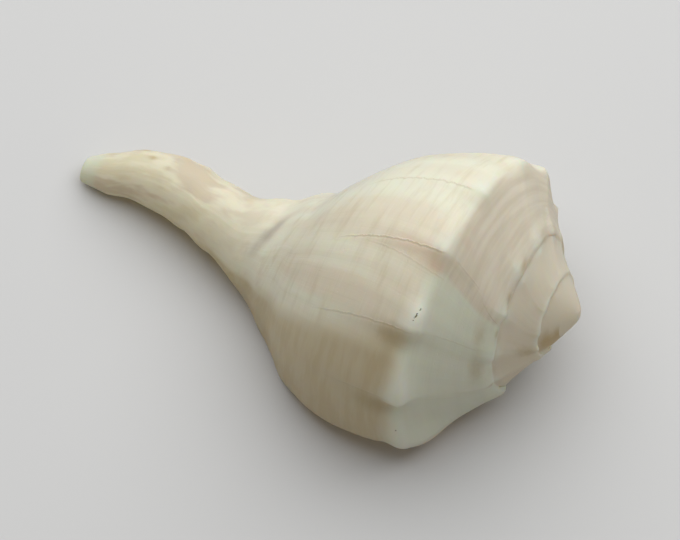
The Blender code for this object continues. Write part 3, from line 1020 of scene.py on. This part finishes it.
# %% Cream with bands and streaks
CREAM = colour(246, 246, 226)
PALE_CREAM = colour(251, 251, 235)
PINKISH = colour(233, 224, 204)
TAN = colour(205, 195, 164)
CANAL_PINK = colour(204, 190, 168)
CANAL_TAN = colour(202, 190, 152)
SHOULDER_MM, CANAL_MM = mm_down(SHOULDER), mm_down(16.5)
off_canal = fade(CANAL_MM + 8, CANAL_MM - 4, down)
on_canal = 1 - off_canal
broad_bands = noise(back, down, 0.3, 0.02, 1.3)
narrow_bands = noise(back, down, 2.2, 0.06, 4.1, detail=3.0)
streaks = noise(back, down, 0.28, 0.6, 7.7, detail=3.0, roughness=0.6)
fine_streaks = noise(back, down, 0.4, 2.4, 9.2)
blotches = noise(back, down, 0.16, 0.11, 12.4, detail=3.0)
ground_layers = [
    (0.35, 0.7, broad_bands, off_canal, 0.8, PINKISH),
    (0.45, 0.78, streaks, off_canal, 0.4, TAN),
    (0.5, 0.8, fine_streaks, off_canal, 0.25, PALE_CREAM),
    (0.5, 0.85, narrow_bands, off_canal, 0.1, TAN),
    (0.42, 0.62, blotches, on_canal, 0.75, CANAL_PINK),
    (0.55, 0.35, blotches, on_canal, 0.5, CANAL_TAN),
]
ground = CREAM
for low, high, pattern, region, share, layer_colour in ground_layers:
    ground = mix(fade(low, high, pattern) * region * share, ground, layer_colour)
print("shoulder and canal at", round(SHOULDER_MM, 1), "and", round(CANAL_MM, 1), "mm down the profile")

# %% [markdown]
# ### Ramp, shoulder and canal
#
# Above the shoulder the shell is a greyish pink, and there soft arcs follow the suture. Over that ground go the
# stored marks, one thin layer after another: the grey-green newest part of the ramp, the bluish white of the rubbed
# knobs with a painted highlight on a suture's raised edge, the tan of their hollows, which is partly stain and partly
# painted shade, stains, a pinkish patch by the healed break, a grey smudge at the canal's root, and a brown-tan patch
# on the nub at the top of the spire. Each one's strength is roughened with the same noise, so that no border is a
# clean curve.

# %% Colours with a place
NEW_TAN_AND_FLANK_SHADE = colour(190, 174, 132)
RAMP_PINK = colour(236, 231, 214)
RAMP_SHADE = colour(222, 215, 196)
GREY_GREEN = colour(226, 236, 218)
BLEACHED_AND_EDGE_HIGHLIGHT = colour(236, 243, 231)
# Tan for the knobs' hollows: partly stain, partly painted shade.
HOLLOW_SHADE_AND_STAIN = colour(172, 155, 112)
OCHRE_STAIN = colour(176, 156, 110)
NUB_BROWN = colour(186, 164, 122)
SMUDGE_GREY = colour(168, 162, 154)
SCAR_PINK = colour(226, 208, 186)
on_spire = fade(LAP - 0.5, LAP + 0.5, back)
on_ramp = larger(fade(SHOULDER_MM + 0.2, SHOULDER_MM - 1.6, down), on_spire)
arcs = noise(back, down, 0.2, 0.55, 6.1, detail=3.0)
ramp = mix(larger(fade(0.3, 0.7, arcs) * (1 - on_spire * 0.6), on_spire * 0.7), RAMP_PINK, RAMP_SHADE)
ragged = noise(back, down, 1.1, 0.5, 3.3, detail=4.0, roughness=0.6) - 0.5
# The newest growth's tan, with painted shade on the lower flank that faces away from the light.
skin = mix(mark("newest_and_flank_shade") * 0.75, ground, mix(fade(0.4, 0.7, streaks), NEW_TAN_AND_FLANK_SHADE, TAN))
skin = mix(on_ramp, skin, ramp)
mark_layers = [
    (0.1, 0.9, "grey", 0.3, 0.75, GREY_GREEN),
    (0.0, 0.95, "bleached_and_edge_highlight", 0.25, 0.75, BLEACHED_AND_EDGE_HIGHLIGHT),
    (0.0, 1.0, "hollow_shade_and_stain", 0.4, 0.7, HOLLOW_SHADE_AND_STAIN),
    (0.05, 1.0, "ochre", 0.5, 0.7, OCHRE_STAIN),
    (0.15, 0.8, "pink", 0.5, 0.6, SCAR_PINK),
]
for low, high, name, raggedness, share, layer_colour in mark_layers:
    skin = mix(fade(low, high, mark(name) + ragged * raggedness) * share, skin, layer_colour)
skin = mix(mark("smudge") * 0.7, skin, SMUDGE_GREY)
skin = mix(fade(0.1, 0.95, mark("nub") + ragged * 0.3) * 0.9, skin, NUB_BROWN)
print("nodes so far:", len(nacre.tree.nodes))

# %% [markdown]
# ### Healed breaks
#
# Where the lip once broke, the old edge stands as a thin, pale, ragged line, with a darker line of painted shade
# beside it on the lower face of the step. The same rows that raised the mesh place these lines, and their height goes
# into the bump later. Each line is the set of points whose distance from the row's slanting course, bent a little by
# noise, is nearly nothing.

# %% Ragged lines
LINE_WIDTH = 0.055
LINE_STARTS_OVER, LINE_ENDS_OVER = 1.0, 8.0
WANDER_COLUMNS = 8
SHADE_OFFSET, SHADE_WIDTH, SHADE_SHARE = -0.1, 0.12, 0.35
LINE_PALE = colour(246, 236, 216)
LINE_SHADE = colour(170, 154, 118)


def break_marks(row):
    start_column, start, end_column, end, strength, raggedness = row
    per_mm = (end_column - start_column) / (mm_down(end) - mm_down(start))
    offset = back - (down - mm_down(start)) * per_mm - start_column - wander * (raggedness * WANDER_COLUMNS)
    low, high = sorted((mm_down(start), mm_down(end)))
    starts = fade(low - LINE_STARTS_OVER, low + LINE_STARTS_OVER, down)
    reach = starts * fade(high, high - LINE_ENDS_OVER, down) * strength
    pale = fade(LINE_WIDTH, 0, distance_to(offset)) * reach
    step_shade = fade(SHADE_WIDTH, 0, distance_to(offset - SHADE_OFFSET)) * reach
    return pale, step_shade


wander = noise(back, down, 0.21, 0.9, 40.3, detail=4.0, roughness=0.7) - 0.5
broken = fade(0.3, 0.6, noise(back, down, 0.4, 1.3, 61.3))
pale_lines, step_shade_lines = 0, 0
for row in BREAKS:
    pale, step_shade = break_marks(row)
    pale_lines, step_shade_lines = pale + pale_lines, step_shade + step_shade_lines
pale_lines = pale_lines * broken
# A line of painted shade on the lower face of each healed step.
skin = mix(step_shade_lines * SHADE_SHARE, skin, LINE_SHADE)
skin = mix(pale_lines, skin, LINE_PALE)
print("lines drawn:", len(BREAKS))

# %% [markdown]
# One knob has a fresh crack, a dark line that comes and goes. A dark pinhole sits on the shoulder near the lip. Both
# are far too small for the mesh, so they are colour alone: a line as above, and a spot by squared distance.

# %% A crack and a pinhole
CRACK_DARK = colour(38, 36, 32)
CRACK_FROM, CRACK_TO = (11.55, 6.35), (12.45, 6.05)
CRACK_WIDTH, CRACK_END, CRACK_BEND = 0.11, 0.08, 0.9
PINHOLE, PINHOLE_SIZE, PINHOLE_SHARE = (3.0, 6.1), 0.2, 0.7
COLUMN_MM = 2.6
crack_slope = (mm_down(CRACK_TO[1]) - mm_down(CRACK_FROM[1])) / (CRACK_TO[0] - CRACK_FROM[0])
crack_bends = noise(back, down, 5.0, 1.0, 71.0, detail=3.0) - 0.5
crack_line = down - (back - CRACK_FROM[0]) * crack_slope - mm_down(CRACK_FROM[1]) + crack_bends * CRACK_BEND
crack = fade(CRACK_WIDTH, CRACK_WIDTH * 0.4, distance_to(crack_line))
crack = crack * fade(CRACK_FROM[0], CRACK_FROM[0] + CRACK_END, back)
crack = crack * fade(CRACK_TO[0], CRACK_TO[0] - CRACK_END, back)
crack = crack * fade(0.36, 0.46, noise(back, down, 9.0, 0.4, 75.0, detail=1.0))
across_hole = (back - PINHOLE[0]) * COLUMN_MM
down_hole = down - mm_down(PINHOLE[1])
pinhole = fade(PINHOLE_SIZE**2, 0, across_hole * across_hole + down_hole * down_hole)
skin = mix(larger(crack, pinhole * PINHOLE_SHARE), skin, CRACK_DARK)
print("crack's length:", round((CRACK_TO[0] - CRACK_FROM[0]) * COLUMN_MM, 1), "mm")

# %% [markdown]
# ### Inside and the lip
#
# Inside, the shell is glossy and a pale yellowish brown. The lip's edge is a thin pinkish rim, its own colour
# brightened by a painted highlight and a painted glow of light through the thin edge.

# %% The inside and the rim
INSIDE_BROWN = colour(226, 202, 160)
LIP_RIM_AND_HIGHLIGHT = colour(238, 219, 195)
RIM_COLUMNS, RIM_STARTS_MM = (0.8, 0.2), (4, 9)
rim_and_highlight = fade(*RIM_COLUMNS, back) * fade(*RIM_STARTS_MM, down)
is_inside = fade(0.3, 0.8, mark("inside"))
# The lip's rim: its own pink, lightened as a painted highlight and glow through the thin edge.
skin = mix(rim_and_highlight, skin, LIP_RIM_AND_HIGHLIGHT)
skin = mix(is_inside, skin, INSIDE_BROWN)
print("inside and rim in light:", [round(value, 2) for value in INSIDE_BROWN[:3] + LIP_RIM_AND_HIGHLIGHT[:3]])

# %% [markdown]
# ### Relief and gloss
#
# Growth lines and cords too fine for the mesh go into a bump, with the healed breaks and a few pits. The surface is a
# dull, dry one outside and polished inside.

# %% Bump and roughness
BUMP_STRENGTH, BUMP_DISTANCE = 0.35, 0.0004
DULL, DULL_CHANGE, POLISH = 0.46, 0.16, 0.24
growth_lines = noise(back, down, 7.0, 0.06, 2.2, detail=3.0, roughness=0.6)
cord_lines = noise(back, down, 0.1, 1.4, 5.5, detail=3.0, roughness=0.6)
pits = noise(back, down, 3.0, 2.5, 8.8)
height = growth_lines * 0.16 + cord_lines * (1 - on_spire) * 0.22 + fade(0.66, 0.8, pits) * -0.25
height = height + pale_lines * 0.6 - step_shade_lines * 0.4
bump = nacre.node("ShaderNodeBump", {}, {"Strength": BUMP_STRENGTH, "Distance": BUMP_DISTANCE, "Height": height})
roughness = DULL + ragged * DULL_CHANGE - is_inside * POLISH
print("roughness inside:", round(DULL - POLISH, 2))

# %% [markdown]
# A shell is like thin porcelain: light sinks in a little way and comes out beside where it went in, which is
# subsurface scattering, and some goes right through the wall and out as a warm glow, which is the translucent part.
# More goes through the inner face, so that the mouth isn't a dark hole. A Mix Shader joins the two, and only its
# factor changes over the surface.

# %% The shell's own shader
LIGHT_THROUGH, MORE_THROUGH_INSIDE = 0.28, 0.3
THROUGH_SHELL = colour(238, 222, 148)
shader = nacre.node(
    "ShaderNodeBsdfPrincipled",
    {},
    {
        "Base Color": skin,
        "Roughness": roughness,
        "Normal": bump,
        "IOR": 1.53,
        "Subsurface Weight": 0.5,
        "Subsurface Radius": (1.0, 0.6, 0.3),
        "Subsurface Scale": 0.003,
    },
)
glow = nacre.node("ShaderNodeBsdfTranslucent", {}, {"Color": THROUGH_SHELL, "Normal": bump})
light_through = is_inside * MORE_THROUGH_INSIDE + LIGHT_THROUGH
shader = nacre.node("ShaderNodeMixShader", {}, {0: light_through, 1: shader, 2: glow})
nacre.node("ShaderNodeOutputMaterial", {}, {"Surface": shader})
cut_mesh.materials.clear()
cut_mesh.materials.append(nacre.material)
print("nodes in the finish:", len(nacre.tree.nodes))

# %% Put the fine shell in the solid's place
shell.name = "lightning_whelk"
for polygon in cut_mesh.polygons:
    polygon.use_smooth = True
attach(shell, "root")
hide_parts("shell")
print("faces on the shell:", len(cut_mesh.polygons))

# %% [markdown]
# ## The floor, the light and the camera
#
# The shell lies on a plain pale table. A wide disc serves as the table, so that its edge stays far outside the view.

# %% The table
FLOOR_RADIUS, FLOOR_EDGES = 3.0, 96
TABLE_GREY, TABLE_ROUGHNESS = (0.56, 0.56, 0.555, 1), 0.6
table = bmesh.new()
bmesh.ops.create_circle(table, cap_ends=True, radius=FLOOR_RADIUS, segments=FLOOR_EDGES)
table_data = bpy.data.meshes.new("pale_table")
table.to_mesh(table_data)
table.free()
pale_table = placed("pale_table", table_data)
table_finish = bpy.data.materials.new("pale_table")
table_finish.use_nodes = True
table_shader = table_finish.node_tree.nodes["Principled BSDF"]
table_shader.inputs["Base Color"].default_value = TABLE_GREY
table_shader.inputs["Roughness"].default_value = TABLE_ROUGHNESS
table_data.materials.append(table_finish)
print("table radius:", FLOOR_RADIUS, "m")

# %% [markdown]
# The photograph shows almost no perspective, so the camera stands far off with a very long lens. An orthographic
# camera would be simpler, but the views from other sides are placed by the lens, and a longer one than this would put
# them out of their own reach. The view is known on the shell's own axis frame: how far the picture is turned, and how
# far the apex tips towards the viewer. The pose carries those directions over to the table.

# %% The camera
PICTURE_TURN = math.radians(18.43)
APEX_TIP = math.radians(17.14)
VIEW_WIDTH = 0.12477
VIEW_CENTRE = (-44.33, 8.46)
LENS = 1200
turn_cos, turn_sin = math.cos(PICTURE_TURN), math.sin(PICTURE_TURN)
tip_cos, tip_sin = math.cos(APEX_TIP), math.sin(APEX_TIP)
right = Vector((-turn_sin, -tip_sin * turn_cos, -tip_cos * turn_cos))
up = Vector((-turn_cos, tip_sin * turn_sin, tip_cos * turn_sin))
towards_viewer = Vector((0, tip_cos, -tip_sin))
centre = to_rest @ (right * VIEW_CENTRE[0] + up * VIEW_CENTRE[1])
to_table = (pitch @ roll @ upright).to_3x3()
right, up, towards_viewer = (to_table @ direction for direction in (right, up, towards_viewer))
camera_data = bpy.data.cameras.new("camera")
camera_data.lens = LENS
camera_distance = VIEW_WIDTH * LENS / camera_data.sensor_width
camera_data.clip_start = camera_distance / 10
camera = placed("camera", camera_data)
facing = Matrix((right, up, towards_viewer)).transposed().to_4x4()
camera.matrix_world = Matrix.Translation(centre + towards_viewer * camera_distance) @ facing
bpy.context.scene.camera = camera
print("camera", round(camera_distance, 3), "m away, looking along", [round(-value, 3) for value in towards_viewer])
print("right:", [round(value, 3) for value in right], " up:", [round(value, 3) for value in up])

# %% [markdown]
# One big soft light stands high behind the shell, at the top of the picture and a little to the right, and a pale
# room fills in the rest. The light itself is invisible to the camera, because other views may look its way.

# %% The light
LIGHT_ELEVATION = math.radians(59)
LIGHT_TO_RIGHT = 0.2
LIGHT_DISTANCE = 0.72
LIGHT_SIZE = 1.4
LIGHT_POWER = 9.4
ROOM_STRENGTH = 0.27
bpy.context.scene.view_settings.view_transform = "Standard"
world = bpy.data.worlds.new("studio")
bpy.context.scene.world = world
world.use_nodes = True
room = world.node_tree.nodes["Background"]
room.inputs["Color"].default_value = (1, 1, 1, 1)
room.inputs["Strength"].default_value = ROOM_STRENGTH
to_top, to_right = (Vector((direction.x, direction.y, 0)).normalized() for direction in (up, right))
level = (to_top + LIGHT_TO_RIGHT * to_right).normalized()
towards_light = level * math.cos(LIGHT_ELEVATION) + Vector((0, 0, 1)) * math.sin(LIGHT_ELEVATION)
light = bpy.data.lights.new("softbox", "AREA")
light.shape = "DISK"
light.size = LIGHT_SIZE
light.energy = LIGHT_POWER
softbox = placed("softbox", light)
turned = towards_light.to_track_quat("Z", "Y").to_matrix().to_4x4()
softbox.visible_camera = False
softbox.matrix_world = Matrix.Translation(towards_light * LIGHT_DISTANCE) @ turned
print("light towards", [round(value, 2) for value in towards_light])
